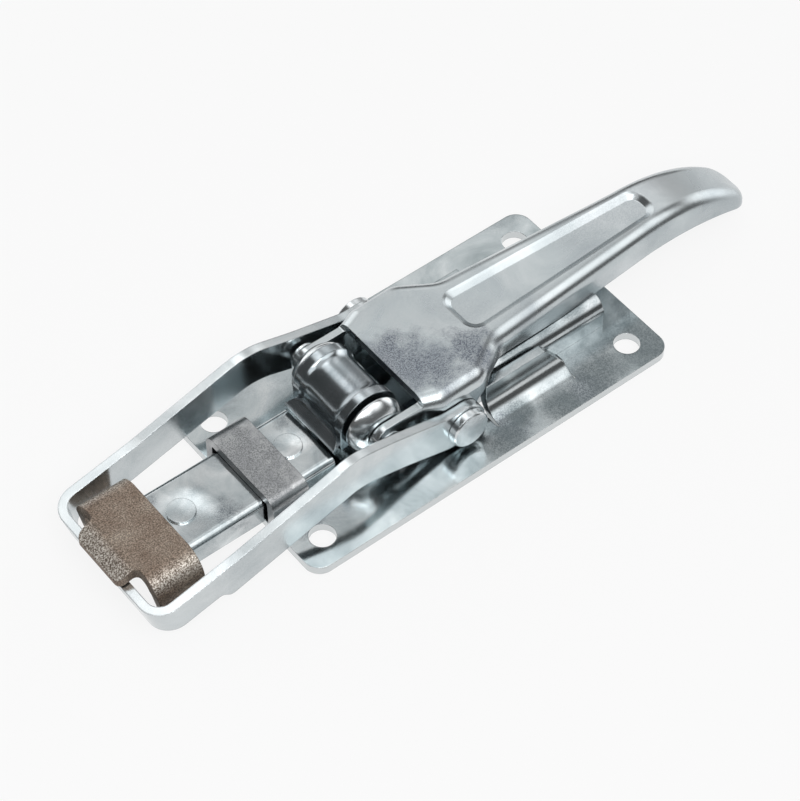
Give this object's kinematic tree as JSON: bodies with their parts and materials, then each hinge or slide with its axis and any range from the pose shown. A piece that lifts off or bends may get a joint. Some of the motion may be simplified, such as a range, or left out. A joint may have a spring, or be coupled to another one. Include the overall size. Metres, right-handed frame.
{
  "type": "trailer tailgate latch",
  "caption": "Over-centre lever latch for a trailer tailgate: bolt-on plate, pressed lever handle, long flat bail, sliding tongue and bare steel hook keeper.",
  "frame": {"origin": "centre of the four bolt holes, on the underside of the base plate", "axes": "+X along the latch towards the tip of the handle, +Z out of the mounting surface, +Y to the left seen from the keeper"},
  "size_m": [0.2507, 0.075, 0.0306],
  "materials": {
    "zinc_plate": "bright zinc plating on rolled sheet, cloudy blue-grey",
    "zinc_small": "bright zinc plating on folded strip",
    "zinc_bracket": "bright zinc plating, smooth and mirror-like",
    "zinc_channel": "bright zinc plating, smooth",
    "zinc_pins": "bright zinc plating on turned steel",
    "zinc_handle": "bright zinc plating on deep-drawn sheet, satin",
    "zinc_strip": "bright zinc plating on flat strip",
    "bare_steel": "uncoated steel with brown mill scale and light rust, for welding"
  },
  "bodies": {
    "base": {"base_plate": "zinc_plate", "bolt_strap": "zinc_small", "pivot_bracket": "zinc_bracket", "pivot_hood": "zinc_bracket", "pivot_bush_left": "zinc_pins", "pivot_bush_right": "zinc_pins", "pivot_pin": "zinc_pins", "rear_channel": "zinc_channel"},
    "lever": {"handle": "zinc_handle", "link_rivet_left": "zinc_pins", "link_rivet_right": "zinc_pins"},
    "loop": {"bail": "zinc_strip", "keeper": "bare_steel"},
    "tongue": {"slide_bolt": "zinc_small"}
  },
  "joints": [
    {"name": "handle_turn", "type": "hinge", "parent": "base", "child": "lever", "pos_m": [-0.0295, 0, 0.0178], "axis": [0, -1, 0], "range_deg": [0, 150]},
    {"name": "bail_turn", "type": "hinge", "parent": "lever", "child": "loop", "pos_m": [-0.0048, 0, 0.012], "axis": [0, -1, 0], "range_deg": [-150, 0]},
    {"name": "bolt_slide", "type": "slide", "parent": "base", "child": "tongue", "axis": [1, 0, 0], "range_m": [0, 0.0166]}
  ],
  "couplings": [
    {"joint": "bail_turn", "follows": "handle_turn", "ratio": -1}
  ]
}
